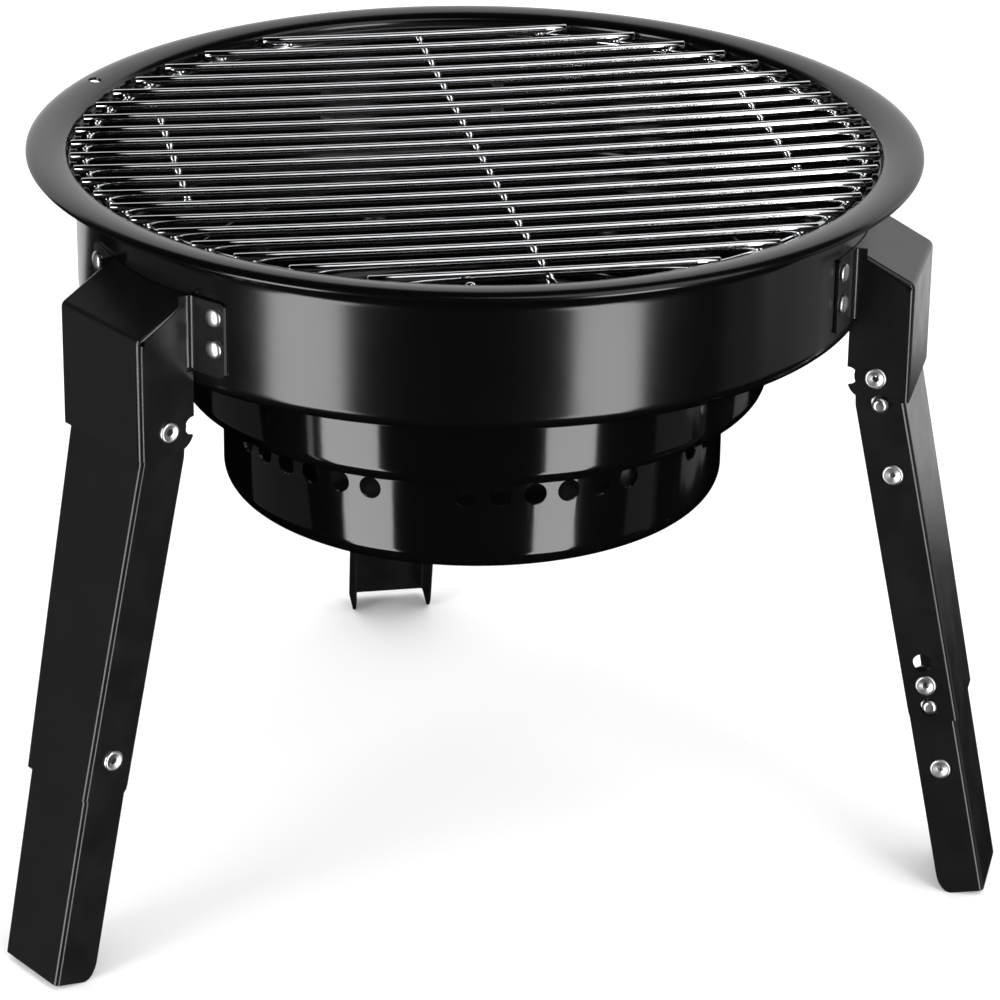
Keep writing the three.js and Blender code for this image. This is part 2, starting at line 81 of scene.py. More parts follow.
BAND_RADIUS = 174.0
BAND_BOTTOM = -67.3
LEDGE = -4.6
MIDDLE_RADIUS = 131.0
MIDDLE_BOTTOM = -110.7
PAN_RADIUS = 111.5
PAN_BOTTOM = -157.0
LIP_WIDTH = 7.0
LIP_GAP = 0.3
FLOOR_HOLE_GAP = 0.6
RING_CORNER = 8.0
PAN_CORNER = 9.0
VENT_GROUPS = 6
VENTS_PER_GROUP = 6
VENT_PITCH = 7.7
VENT_START = 277.5
VENT_HEIGHT = -121.5
VENT_RADIUS = 5.0
HANG_HOLE_AZIMUTH = 147.0
HANG_HOLE_RADIUS = 3.0
HANG_HOLE_REACH = 186.2

HIP_RADIUS = 184.4
HIP_HEIGHT = 75.0
MID_LENGTH = 148.5
LOWER_LENGTH = 105.0
MID_DEPTH = 21.5
LOWER_DEPTH = 20.0
HIP_INSET = 10.4
KNEE_INSET = 11.6
LOWER_FACE = 10.1
MID_TOP_HALF = 27.2
MID_BOTTOM_HALF = 22.8
LOWER_TOP_HALF = 21.2
LOWER_BOTTOM_HALF = 19.8
WEB_START = 11.0
WEB_OVERRUN = 18.6
HIP_BUTTON = 12.2
KNEE_BUTTON = 11.0
BUTTON_RADIUS = 3.5
BUTTON_HOLE_RADIUS = 4.2
RIVET_BORE = 1.35
HIP_SPRING_SPAN = 34.0
KNEE_SPRING_SPAN = 31.2
SPRING_SHEET = 0.6
SPRING_HALF_WIDTH = 3.5
SPRING_END = 4.4

HIP_NOSE = 9.6
KNEE_NOSE = 8.6
MID_CORNER = 6
LEG_BEND = 2.2
PIVOT_HOLE = 2.6
SPRING_RIVET_HOLE = 1.7
TAB_RIVET_HOLE = 2.2
PIVOT_SHANK = 2.35
SPRING_SHANK = 1.5
PIVOT_TAIL = 4
TAIL_SHEET = 0.9
HIP_GRIP = 3.6
KNEE_GRIP = 3.7
SEAT_GAP = 0.1
SPRING_TAIL = 2.6
HIP_SPRING_GRIP = 3.6
KNEE_SPRING_GRIP = 3.0
TAB_RIVET_HEAD = 4.0
TAB_RIVET_DOME = 1.9
TAB_RIVET_SHANK = 1.9
TAB_RIVET_TAIL = 3.2

BRACKET_FACE = 199.0
BRACKET_HALF = 28.8
BRACKET_TOP = -38.3
BRACKET_SHOULDER = -25.0
BRACKET_BOTTOM = -92.3
TAB_TOP = -23.8
TAB_BOTTOM = -56.6
TAB_REACH = 47.0
TAB_RIVET_OFFSET = 41.6
TAB_RIVET_HEIGHTS = (-30.3, -44.3)
TAB_CORNER = 2.2
BRACKET_ROOT = 166.0
ROOT_RISE = 4.2
BAND_GAP = 0.3
SCALLOP_RADIUS = 9.0
SEAM_WIDTH = 0.45
RELIEF_RADIUS = 1.2

BAR_COUNT = 20
BAR_PITCH = 16.7
WIRE_RADIUS = 2.0
GRATE_RADIUS = 176.2
GRATE_RING = 169.5
CROSS_WIRE = 2.0
SIDE_WIRES = (-131.0, 134.0)
SIDE_WIRE_BARS = 7
GRATE_SAG = 2.6
RING_JOINT_AZIMUTH = 259.1
COAL_BARS = 11
COAL_PITCH = 20.0
COAL_RING = 113.0
COAL_WIRE = 1.5
WELD_SIZE = (2.3, 2.3, 1.5)
RING_JOINT_SIZE = (2.9, 2.9, 2.9)

CUTTER_REACH = 60
WALL_REACH = 6

# ---- studio and camera, in metres and degrees ----------------------------------------------------
FLOOR_HALF = 30.0
WORLD_GLOW = 1.1
STRIP_GLOW = 7.3
STRIP_HEIGHT = 2.6
STRIP_DISTANCE = 1.8
STRIP_DROP = -0.2
VIEW_TURN = -10.39
CAMERA_DISTANCE = 1.74255
CAMERA_RISE = 0.59516
CAMERA_PITCH = 23.76
CAMERA_YAW = 0.42
CAMERA_ROLL = 0.745
CAMERA_LENS = 151.57


# ---- mesh helpers --------------------------------------------------------------------------------
def mesh_object(name, verts, faces):
    """A new object in the scene, its vertices given in millimetres in the shared frame."""
    mesh = bpy.data.meshes.new(name)
    mesh.from_pydata([Vector(v) * MM for v in verts], [], faces)
    mesh.validate()
    obj = bpy.data.objects.new(name, mesh)
    bpy.context.scene.collection.objects.link(obj)
    return obj


def baked(obj):
    """Applies an object's modifiers to its mesh."""
    bpy.context.view_layer.update()
    graph = bpy.context.evaluated_depsgraph_get()
    mesh = bpy.data.meshes.new_from_object(obj.evaluated_get(graph))
    obj.modifiers.clear()
    obj.data = mesh
    return obj


def boolean(obj, tool, operation):
    """Cuts, joins or intersects an object with a tool, which is used up."""
    modifier = obj.modifiers.new("boolean", "BOOLEAN")
    modifier.operation = operation
    modifier.solver = "EXACT"
    modifier.object = tool
    baked(obj)
    bpy.data.objects.remove(tool)
    return obj


def bevelled(obj, width, segments=2, angle=40):
    """Rounds the sharp edges of an object by a width in millimetres."""
    modifier = obj.modifiers.new("bevel", "BEVEL")
    modifier.width = width * MM
    modifier.segments = segments
    modifier.limit_method = "ANGLE"
    modifier.angle_limit = math.radians(angle)
    modifier.use_clamp_overlap = True
    return baked(obj)


def smoothed(obj, angle=35):
    """Smooth shading, with edges sharper than this many degrees kept sharp."""
    obj.data.shade_smooth()
    obj.data.set_sharp_from_angle(angle=math.radians(angle))
    return obj


def flat_faced(obj, angle=30):
    """Smooths only the rounded edges, so each flat sheet face keeps one even normal."""
    smoothed(obj, angle)
    modifier = obj.modifiers.new("normals", "WEIGHTED_NORMAL")
    modifier.weight = 100
    modifier.keep_sharp = True
    return baked(obj)


def joined(objects, name):
    """One object made of several, each kept as its own shell."""
    build = bmesh.new()
    for obj in objects:
        build.from_mesh(obj.data)
        bpy.data.objects.remove(obj)
    mesh = bpy.data.meshes.new(name)
    build.to_mesh(mesh)
    build.free()
    result = bpy.data.objects.new(name, mesh)
    bpy.context.scene.collection.objects.link(result)
    return result


def arc(centre, radius, start, end, steps):
    """Points on an arc; angles in degrees from the first axis towards the second."""
    points = []
    for i in range(steps + 1):
        angle = math.radians(start + (end - start) * i / steps)
        points.append((centre[0] + radius * math.cos(angle), centre[1] + radius * math.sin(angle)))
    return points


def circle(centre, radius):
    """The 24 corners of a round hole."""
    return arc(centre, radius, 0, 345, 23)


# Each of these carries an outline's point (a, b) to the distance c along its axis.
def along_x(a, b, c):
    return (c, a, b)


def along_y(a, b, c):
    return (a, c, b)


def along_z(a, b, c):
    return (a, b, c)


def turned(name, outline, segments):
    """Spins a closed outline of (radius, height) pairs about Z. Points on the axis become one vertex."""
    verts = []
    rows = []
    for radius, height in outline:
        if radius < 1e-6:
            rows.append([len(verts)] * segments)
            verts.append((0, 0, height))
            continue
        rows.append(list(range(len(verts), len(verts) + segments)))
        for i in range(segments):
            angle = 2 * math.pi * i / segments
            verts.append((radius * math.cos(angle), radius * math.sin(angle), height))
    faces = []
    on_axis = [radius < 1e-6 for radius, _ in outline]
    for k in range(len(outline)):
        n = (k + 1) % len(outline)
        if on_axis[k] and on_axis[n]:
            continue
        for i in range(segments):
            j = (i + 1) % segments
            corners = [rows[k][i], rows[k][j], rows[n][j], rows[n][i]]
            faces.append(list(dict.fromkeys(corners)))
    return mesh_object(name, verts, faces)


def extruded(name, outline, start, end, to_space):
    """A prism: an outline of pairs, run from start to end along the axis that to_space names."""
    count = len(outline)
    verts = [to_space(a, b, start) for a, b in outline] + [to_space(a, b, end) for a, b in outline]
    faces = [list(range(count))[::-1], list(range(count, 2 * count))]
    for i in range(count):
        j = (i + 1) % count
        faces.append([i, j, count + j, count + i])
    return outward(mesh_object(name, verts, faces))


def outward(obj):
    """Turns every face's normal to the outside."""
    build = bmesh.new()
    build.from_mesh(obj.data)
    bmesh.ops.recalc_face_normals(build, faces=build.faces)
    build.to_mesh(obj.data)
    build.free()
    return obj


def lofted(name, low_outline, low, high_outline, high):
    """A prism along Z whose outline changes evenly from the low end to the high end."""
    count = len(low_outline)
    verts = [(a, b, low) for a, b in low_outline] + [(a, b, high) for a, b in high_outline]
    faces = [list(range(count))[::-1], list(range(count, 2 * count))]
    for i in range(count):
        j = (i + 1) % count
        faces.append([i, j, count + j, count + i])
    return outward(mesh_object(name, verts, faces))


def cross_pins(name, pins, reach):
    """Round cutters along Y: each pin is (x, z, radius, side), side 0 for right through."""
    cutters = []
    for x, z, radius, side in pins:
        start = -reach if side <= 0 else 0
        end = reach if side >= 0 else 0
        cutters.append(extruded("pin", circle((x, z), radius), start, end, along_y))
    return joined(cutters, name)


def tube(name, points, radius, sides=12, closed=False):
    """A round wire through points in millimetres, with slightly rounded ends."""
    path = [Vector(p) for p in points]
    count = len(path)
    rings = []
    tangents = []
    for i, point in enumerate(path):
        before = path[i - 1] if (closed or i > 0) else point
        after = path[(i + 1) % count] if (closed or i < count - 1) else point
        tangents.append((after - before).normalized())
        rings.append((point, radius))
    if not closed:
        first, last = path[0], path[-1]
        start_rings = [(first, radius * 0.75), (first + tangents[0] * 0.4, radius)]
        end_rings = [(last - tangents[-1] * 0.4, radius), (last, radius * 0.75)]
        rings = start_rings + rings[1:-1] + end_rings
        tangents = tangents[:1] * 2 + tangents[1:-1] + tangents[-1:] * 2
    verts = []
    for (point, size), tangent in zip(rings, tangents):
        side = tangent.cross(Vector((0, 0, 1))).normalized()
        upward = side.cross(tangent)
        for k in range(sides):
            angle = 2 * math.pi * k / sides
            verts.append(point + side * size * math.cos(angle) + upward * size * math.sin(angle))
    faces = []
    rows = len(rings)
    for i in range(rows if closed else rows - 1):
        n = (i + 1) % rows
        for k in range(sides):
            m = (k + 1) % sides
            faces.append([i * sides + k, i * sides + m, n * sides + m, n * sides + k])
    if not closed:
        faces.append(list(range(sides))[::-1])
        faces.append(list(range((rows - 1) * sides, rows * sides)))
    return outward(mesh_object(name, verts, faces))


def blob(name, centre, size):
    """A small squashed bead of weld metal."""
    build = bmesh.new()
    bmesh.ops.create_icosphere(build, subdivisions=2, radius=1.0)
    verts = [[middle + part * half for middle, part, half in zip(centre, v.co, size)] for v in build.verts]
    faces = [[v.index for v in f.verts] for f in build.faces]
    build.free()
    return mesh_object(name, verts, faces)


def about_z(degrees):
    return Matrix.Rotation(math.radians(degrees), 4, "Z")


def shift(x, y, z):
    return Matrix.Translation(Vector((x, y, z)) * MM)


def moved(obj, matrix):
    obj.data.transform(matrix)
    return obj


def stands_for(obj, node, material):
    """Gives an object a CAD node's name, body and slot, and its finish."""
    obj.name = "look_" + node
    obj.data.materials.clear()
    obj.data.materials.append(material)
    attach(obj, frame["nodes"][node]["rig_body"])
    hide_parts(node)
    return obj


# ---- finishes ------------------------------------------------------------------------------------
def new_material(name):
    material = bpy.data.materials.new(name)
    material.use_nodes = True
    tree = material.node_tree
    shader = tree.nodes["Principled BSDF"]
    return material, tree, shader


def noise(tree, scale, detail=3.0, roughness=0.5):
    coordinates = tree.nodes.new("ShaderNodeTexCoord")
    node = tree.nodes.new("ShaderNodeTexNoise")
    node.inputs["Scale"].default_value = scale
    node.inputs["Detail"].default_value = detail
    node.inputs["Roughness"].default_value = roughness
    tree.links.new(coordinates.outputs["Object"], node.inputs["Vector"])
    return node


def ranged(tree, source, low, high, from_low=0.3, from_high=0.7):
    node = tree.nodes.new("ShaderNodeMapRange")
    node.inputs["From Min"].default_value = from_low
    node.inputs["From Max"].default_value = from_high
    node.inputs["To Min"].default_value = low
    node.inputs["To Max"].default_value = high
    tree.links.new(source, node.inputs["Value"])
    return node


def mixed_colour(tree, factor, first, second):
    node = tree.nodes.new("ShaderNodeMix")
    node.data_type = "RGBA"
    node.inputs["A"].default_value = (*first, 1)
    node.inputs["B"].default_value = (*second, 1)
    tree.links.new(factor, node.inputs["Factor"])
    return node.outputs["Result"]


def bump(tree, shader, height, strength, distance):
    node = tree.nodes.new("ShaderNodeBump")
    node.inputs["Strength"].default_value = strength
    node.inputs["Distance"].default_value = distance * MM
    tree.links.new(height, node.inputs["Height"])
    tree.links.new(node.outputs["Normal"], shader.inputs["Normal"])


def enamel(name, polish_low, polish_high, peel_strength):
    """Deep gloss black with a faint orange peel and the odd smudge."""
    material, tree, shader = new_material(name)
    cloud = noise(tree, 14, 4)
    tone = mixed_colour(tree, cloud.outputs["Fac"], (0.0008, 0.0008, 0.0009), (0.0016, 0.0016, 0.0017))
    tree.links.new(tone, shader.inputs["Base Color"])
    smudge = ranged(tree, noise(tree, 22, 6, 0.6).outputs["Fac"], polish_low, polish_high)
    tree.links.new(smudge.outputs["Result"], shader.inputs["Roughness"])
    peel = noise(tree, 130, 2)
    bump(tree, shader, peel.outputs["Fac"], peel_strength, 0.25)
    shader.inputs["IOR"].default_value = 1.5
    return material


def powder_coat():
    """Satin black paint with a fine grain."""
    material, tree, shader = new_material("black_powder_coat")
    cloud = noise(tree, 30, 4)
    tone = mixed_colour(tree, cloud.outputs["Fac"], (0.0024, 0.0024, 0.0026), (0.0042, 0.0042, 0.0044))
    tree.links.new(tone, shader.inputs["Base Color"])
    satin = ranged(tree, noise(tree, 60, 5, 0.6).outputs["Fac"], 0.20, 0.27)
    tree.links.new(satin.outputs["Result"], shader.inputs["Roughness"])
    grain = noise(tree, 1800, 2)
    bump(tree, shader, grain.outputs["Fac"], 0.12, 0.12)
    shader.inputs["IOR"].default_value = 1.5
    return material


def plated(name, tone_a, tone_b, rough_low, rough_high, grain_scale, grain_strength):
    """A metal finish with cloudy tone, uneven polish and a fine grain."""
    material, tree, shader = new_material(name)
    shader.inputs["Metallic"].default_value = 1.0
    cloud = noise(tree, 90, 4)
    tone = mixed_colour(tree, cloud.outputs["Fac"], tone_a, tone_b)
    tree.links.new(tone, shader.inputs["Base Color"])
    polish = ranged(tree, noise(tree, 160, 5, 0.6).outputs["Fac"], rough_low, rough_high)
    tree.links.new(polish.outputs["Result"], shader.inputs["Roughness"])
    grain = noise(tree, grain_scale, 3)
    bump(tree, shader, grain.outputs["Fac"], grain_strength, 0.05)
    return material


SATIN_ENAMEL = enamel("satin_enamel", 0.15, 0.19, 0.05)
ENAMEL = enamel("gloss_enamel", 0.07, 0.10, 0.05)
POWDER = powder_coat()
CHROME = plated("chrome_wire", (0.78, 0.79, 0.81), (0.9, 0.905, 0.915), 0.06, 0.14, 1500, 0.08)
DARK_WIRE = plated("heat_dark_wire", (0.10, 0.095, 0.09), (0.2, 0.19, 0.18), 0.35, 0.55, 1500, 0.2)
RIVET = plated("rivet_aluminium", (0.46, 0.465, 0.47), (0.6, 0.605, 0.61), 0.30, 0.42, 2200, 0.12)
SPRING = plated("spring_steel", (0.5, 0.51, 0.53), (0.66, 0.67, 0.68), 0.2, 0.34, 2200, 0.1)


# ---- the bowl ------------------------------------------------------------------------------------
def lifted(outline):
    """Heights below the rim turned into heights in the shared frame."""
    return [(radius, RIM_HEIGHT + height) for radius, height in outline]


def upper_ring():
    """The upper ring: inturned foot, straight band, a ledge for the grate and a crowned, rolled rim."""
    sheet = BOWL_SHEET
    corner = RING_CORNER
    hub = BAND_RADIUS - corner
    foot = BAND_BOTTOM + corner
    hole = MIDDLE_RADIUS + FLOOR_HOLE_GAP
    outer = [(hole, BAND_BOTTOM)] + arc((hub, foot), corner, -90, 0, 10)
    outer += [(BAND_RADIUS, -14.5), (174.15, -12.6), (174.9, -10.9), (176.4, -8.9), (177.6, -7.4)]
    outer += [(178, -5.8), (178, -3.6), (178.4, -2.6), (179.6, -1.6), (183, -0.6)]
    outer += [(188, 0.5), (191.5, 0.2), (193.6, -0.9)]
    edge = [(194.1, -1.5), (194.7, -1.5), (195.05, -1.0), (194.95, -0.4)]
    inner = [(194, 0.5), (191.6, 1.35), (188, 1.7), (183.5, 1.2), (179.6, 0.2), (177.9, -0.7), (177.1, -1.8)]
    inner += [(177, -3.0), (177, LEDGE + 0.5), (176.5, LEDGE), (173.9, LEDGE), (173.2, LEDGE - 0.3)]
    inner += [(173, LEDGE - 1.1), (173, -14.5)]
    inner += arc((hub, foot), corner - sheet, 0, -90, 10) + [(hole, BAND_BOTTOM + sheet)]
    ring = outward(turned("upper_ring", lifted(outer + edge + inner), 256))
    cutters = [crosswise_cutter(azimuth, side * TAB_RIVET_OFFSET, height)
               for azimuth in LEG_AZIMUTHS for side in (-1, 1) for height in TAB_RIVET_HEIGHTS]
    hang_hole = circle((HANG_HOLE_REACH, 0), HANG_HOLE_RADIUS)
    hang = extruded("hang", hang_hole, RIM_HEIGHT - WALL_REACH, RIM_HEIGHT + WALL_REACH, along_z)
    cutters.append(moved(hang, about_z(HANG_HOLE_AZIMUTH)))
    boolean(ring, joined(cutters, "cutters"), "DIFFERENCE")
    return smoothed(ring, 40)


def radial_cutter(radius, wall, height):
    """A round cutter along X through a wall."""
    hole = circle((0, RIM_HEIGHT + height), radius)
    return extruded("cutter", hole, wall - WALL_REACH, wall + WALL_REACH, along_x)


def tab_turn(offset):
    """The turn, in degrees, that carries a point of the band sideways by this offset."""
    return math.degrees(math.asin(offset / BAND_RADIUS))


def crosswise_cutter(azimuth, offset, height):
    """A cutter for a tab rivet's hole, to one side of a leg."""
    return moved(radial_cutter(TAB_RIVET_HOLE, BAND_RADIUS, height), about_z(azimuth + tab_turn(offset)))


def stage_outline(radius, lip_top, bottom, hole, corner):
    """The section of a telescoping stage: floor, rounded foot, wall and the lip it hangs by."""
    sheet = BOWL_SHEET
    hub = radius - corner
    foot = bottom + corner
    lip = radius + LIP_WIDTH
    outer = [(hole, bottom)] + arc((hub, foot), corner, -90, 0, 10)
    outer += [(radius, lip_top - sheet - 1.2), (radius + 1.2, lip_top - sheet), (lip, lip_top - sheet)]
    inner = [(lip, lip_top), (radius + 0.6, lip_top), (radius - 0.6, lip_top - 0.6)]
    inner += [(radius - sheet, lip_top - 2)]
    inner += arc((hub, foot), corner - sheet, 0, -90, 10) + [(hole, bottom + sheet)]
    return outer + inner


def middle_ring():
    lip_top = BAND_BOTTOM + 2 * BOWL_SHEET + LIP_GAP
    outline = stage_outline(MIDDLE_RADIUS, lip_top, MIDDLE_BOTTOM, PAN_RADIUS + FLOOR_HOLE_GAP, RING_CORNER)
    return smoothed(outward(turned("middle_ring", lifted(outline), 224)), 40)


def fire_pan():
    lip_top = MIDDLE_BOTTOM + 2 * BOWL_SHEET + LIP_GAP
    outline = stage_outline(PAN_RADIUS, lip_top, PAN_BOTTOM, 0.0, PAN_CORNER)
    pan = outward(turned("fire_pan", lifted(outline), 216))
    cutters = []
    for group in range(VENT_GROUPS):
        middle = VENT_START + group * 360 / VENT_GROUPS
        for hole in range(VENTS_PER_GROUP):
            turn = middle + (hole - (VENTS_PER_GROUP - 1) / 2) * VENT_PITCH
            cutters.append(moved(radial_cutter(VENT_RADIUS, PAN_RADIUS, VENT_HEIGHT), about_z(turn)))
    boolean(pan, joined(cutters, "vents"), "DIFFERENCE")
    return smoothed(pan, 40)


# ---- grates --------------------------------------------------------------------------------------
def sagged(x, y, height, reach, sag):
    """A point of a grate that hangs by this sag in its middle and not at all at its edge."""
    return (x, y, height - sag * (1 - (x * x + y * y) / (reach * reach)))


def wire_between(name, a, b, height, radius, reach, sag, steps=14):
    points = []
    for i in range(steps + 1):
        t = i / steps
        points.append(sagged(a[0] + (b[0] - a[0]) * t, a[1] + (b[1] - a[1]) * t, height, reach, sag))
    return tube(name, points, radius)


def ring_wire(name, ring, height, radius, reach, sag, steps=144):
    points = []
    for i in range(steps):
        angle = 2 * math.pi * i / steps
        points.append(sagged(ring * math.cos(angle), ring * math.sin(angle), height, reach, sag))
    return tube(name, points, radius, closed=True)


def cooking_grate():
    bar_height = RIM_HEIGHT + LEDGE + LIP_GAP + WIRE_RADIUS
    under = bar_height - 2 * WIRE_RADIUS + 0.4
    parts = [ring_wire("ring", GRATE_RING, under, WIRE_RADIUS, GRATE_RADIUS, GRATE_SAG)]
    cross_half = math.sqrt(GRATE_RING ** 2 - CROSS_WIRE ** 2)
    side_middle = BAR_PITCH / 2
    side_half = (SIDE_WIRE_BARS - 1) / 2 * BAR_PITCH + WIRE_RADIUS
    reaches = [(CROSS_WIRE, -cross_half, cross_half)]
    reaches += [(x, side_middle - side_half, side_middle + side_half) for x in SIDE_WIRES]
    for x, start, end in reaches:
        cross = wire_between("cross", (x, start), (x, end), under, WIRE_RADIUS, GRATE_RADIUS, GRATE_SAG)
        parts.append(cross)
    for i in range(BAR_COUNT):
        y = (i - (BAR_COUNT - 1) / 2) * BAR_PITCH
        half = math.sqrt(GRATE_RADIUS ** 2 - (abs(y) + WIRE_RADIUS) ** 2)
        bar = wire_between("bar", (-half, y), (half, y), bar_height, WIRE_RADIUS, GRATE_RADIUS, GRATE_SAG)
        parts.append(bar)
        crossings = [x for x, start, end in reaches if start < y < end]
        if abs(y) < GRATE_RING - 4:
            on_ring = math.sqrt(GRATE_RING ** 2 - y * y)
            crossings += [-on_ring, on_ring]
        for x in crossings:
            spot = sagged(x, y, (bar_height + under) / 2, GRATE_RADIUS, GRATE_SAG)
            parts.append(blob("weld", spot, WELD_SIZE))
    turn = math.radians(RING_JOINT_AZIMUTH)
    joint = (GRATE_RING * math.cos(turn), GRATE_RING * math.sin(turn), under + 0.6)
    parts.append(blob("ring_joint", joint, RING_JOINT_SIZE))
    return smoothed(joined(parts, "cooking_grate"), 60)


def charcoal_grate():
    ring_height = RIM_HEIGHT + MIDDLE_BOTTOM + 2 * BOWL_SHEET + 2 * LIP_GAP + COAL_WIRE
    bar_height = ring_height + 2 * COAL_WIRE - 0.4
    parts = [ring_wire("ring", COAL_RING, ring_height, COAL_WIRE, COAL_RING, 0)]
    for i in range(COAL_BARS):
        y = (i - (COAL_BARS - 1) / 2) * COAL_PITCH
        half = math.sqrt((COAL_RING + COAL_WIRE) ** 2 - (abs(y) + COAL_WIRE) ** 2)
        parts.append(wire_between("bar", (-half, y), (half, y), bar_height, COAL_WIRE, COAL_RING, 0, steps=4))
    return smoothed(joined(parts, "charcoal_grate"), 60)


# ---- legs: X out from the bowl, Y sideways, Z up -------------------------------------------------
def channel_section(half, face, depth):
    """The outline of a folded U channel seen along the leg, with rounded bends."""
    sheet = LEG_SHEET
    bend = LEG_BEND
    inner = bend - sheet
    back = face - depth
    outline = [(back, -half)]
    outline += arc((face - bend, -half + bend), bend, -90, 0, 6)
    outline += arc((face - bend, half - bend), bend, 0, 90, 6)
    outline += [(back, half), (back, half - sheet)]
    outline += arc((face - bend, half - bend), inner, 90, 0, 4)
    outline += arc((face - bend, -half + bend), inner, 0, -90, 4)
    outline += [(back, -half + sheet)]
    return outline


def leg_channel(name, face, depth, top, bottom, profile, pins):
    """A tapered channel cut to its side profile and drilled. top and bottom are (half width, height)."""
    slope = (top[0] - bottom[0]) / (top[1] - bottom[1])
    high = top[1] + 20
    low = bottom[1] - 30
    high_section = channel_section(top[0] + slope * (high - top[1]), face, depth)
    low_section = channel_section(bottom[0] + slope * (low - bottom[1]), face, depth)
    body = lofted(name, low_section, low, high_section, high)
    boolean(body, extruded("outline", profile, -CUTTER_REACH, CUTTER_REACH, along_y), "INTERSECT")
    boolean(body, cross_pins("pins", pins, CUTTER_REACH), "DIFFERENCE")
    bevelled(body, 0.22)
    return flat_faced(body)


def mid_section():
    """The middle section: round at the hip, drilled for the hip button and for both knee positions."""
    face = HIP_INSET
    back = face - MID_DEPTH
    knee_x = face - KNEE_INSET
    end = -(MID_LENGTH + WEB_OVERRUN)
    profile = [(face + 1, -WEB_START), (face - 1.6, -WEB_START)] + arc((0, 0), HIP_NOSE, -28, 190, 20)
    profile += [(back, -12), (back, end + 7)]
    profile += arc((back + MID_CORNER, end + MID_CORNER), MID_CORNER, 180, 270, 6) + [(face + 1, end)]
    pins = [
        (0, 0, PIVOT_HOLE, 0),
        (knee_x, -MID_LENGTH, PIVOT_HOLE, 0),
        (0, -HIP_BUTTON, BUTTON_HOLE_RADIUS, -1),
        (0, -HIP_BUTTON - HIP_SPRING_SPAN, SPRING_RIVET_HOLE, -1),
        (knee_x, -MID_LENGTH - KNEE_BUTTON, BUTTON_HOLE_RADIUS, -1),
        (knee_x, -MID_LENGTH + KNEE_BUTTON, BUTTON_HOLE_RADIUS, -1),
    ]
    top = (MID_TOP_HALF, 0)
    bottom = (MID_BOTTOM_HALF, -MID_LENGTH)
    return leg_channel("leg_mid", face, MID_DEPTH, top, bottom, profile, pins)


def lower_section():
    """The lower section: round at the knee, with a curved corner at the toe."""
    face = LOWER_FACE
    back = face - LOWER_DEPTH
    toe = -LOWER_LENGTH
    profile = [(face + 1, -1), (face - 1.4, -1)] + arc((0, 0), KNEE_NOSE, 0, 190, 20)
    profile += [(back, -10), (back, toe + 9)]
    profile += [(back + 0.35, toe + 6), (back + 1.4, toe + 3), (back + 2.9, toe + 1)]
    profile += [(back + 4.8, toe), (face + 1, toe)]
    pins = [
        (0, 0, PIVOT_HOLE, 0),
        (0, -KNEE_BUTTON, BUTTON_HOLE_RADIUS, -1),
        (0, -KNEE_BUTTON - KNEE_SPRING_SPAN, SPRING_RIVET_HOLE, -1),
    ]
    top = (LOWER_TOP_HALF, 0)
    bottom = (LOWER_BOTTOM_HALF, -LOWER_LENGTH)
    return leg_channel("leg_lower", face, LOWER_DEPTH, top, bottom, profile, pins)


def latch_point(fold):
    """Where the hip button stands, in the bracket's frame, when the leg has turned by this many degrees."""
    angle = SPLAY - math.radians(fold)
    return HIP_RADIUS + HIP_BUTTON * math.sin(angle), HIP_HEIGHT - HIP_BUTTON * math.cos(angle)


def bracket_shell():
    """The folded box around the hip, open below and towards the bowl, before it is trimmed."""
    sheet = LEG_SHEET
    up = RIM_HEIGHT
    half = BRACKET_HALF
    outline = [
        (BRACKET_FACE, up + BRACKET_BOTTOM - 10),
        (BRACKET_FACE, up + BRACKET_TOP),
        (BRACKET_ROOT, up + BRACKET_SHOULDER + ROOT_RISE),
        (BRACKET_ROOT, up + BRACKET_BOTTOM - 10),
    ]
    shell = extruded("bracket", outline, -half, half, along_y)
    bevelled(shell, LEG_BEND, 5)
    room_outline = [
        (BRACKET_FACE - sheet, up + BRACKET_BOTTOM - 30),
        (BRACKET_FACE - sheet, up + BRACKET_TOP - 0.7),
        (BRACKET_ROOT - 20, up + BRACKET_SHOULDER + 11.2),
        (BRACKET_ROOT - 20, up + BRACKET_BOTTOM - 30),
    ]
    room = extruded("room", room_outline, -half + sheet, half - sheet, along_y)
    bevelled(room, 1.0, 3)
    return boolean(shell, room, "DIFFERENCE")


def bracket_skirt():
    """What the bracket is trimmed to, seen from the side: its lower edge ends in a scallop by the bowl."""
    up = RIM_HEIGHT
    front = BRACKET_FACE + 5
    foot = up + BRACKET_BOTTOM
    outline = [(front, foot), (front, up + 20), (160, up + 20), (160, up - 76), (171.9, up - 78)]
    outline += arc((HIP_RADIUS - 3.4, foot + SCALLOP_RADIUS), SCALLOP_RADIUS, 180, 270, 8)
    return extruded("skirt", outline, -CUTTER_REACH, CUTTER_REACH, along_y)


def bracket():
    """The bracket that carries a leg: trimmed, tabbed, fitted to the band, drilled and rounded."""
    shell = bracket_shell()
    boolean(shell, bracket_skirt(), "INTERSECT")
    for side in (-1, 1):
        boolean(shell, bracket_tab(side), "UNION")
    reach = BAND_RADIUS + BAND_GAP
    drum = turned("drum", [(0, 0), (reach, 0), (reach, 200), (0, 200)], 256)
    boolean(shell, outward(drum), "DIFFERENCE")
    latches = (latch_point(0), latch_point(90 + math.degrees(SPLAY)))
    pins = [(x, z, BUTTON_HOLE_RADIUS, 0) for x, z in latches] + [(HIP_RADIUS, HIP_HEIGHT, PIVOT_HOLE, 0)]
    boolean(shell, cross_pins("pins", pins, CUTTER_REACH), "DIFFERENCE")
    for side in (-1, 1):
        for height in TAB_RIVET_HEIGHTS:
            boolean(shell, crosswise_cutter(0, side * TAB_RIVET_OFFSET, height), "DIFFERENCE")
    bracket_reliefs(shell)
    bevelled(shell, 0.3)
    return flat_faced(shell)


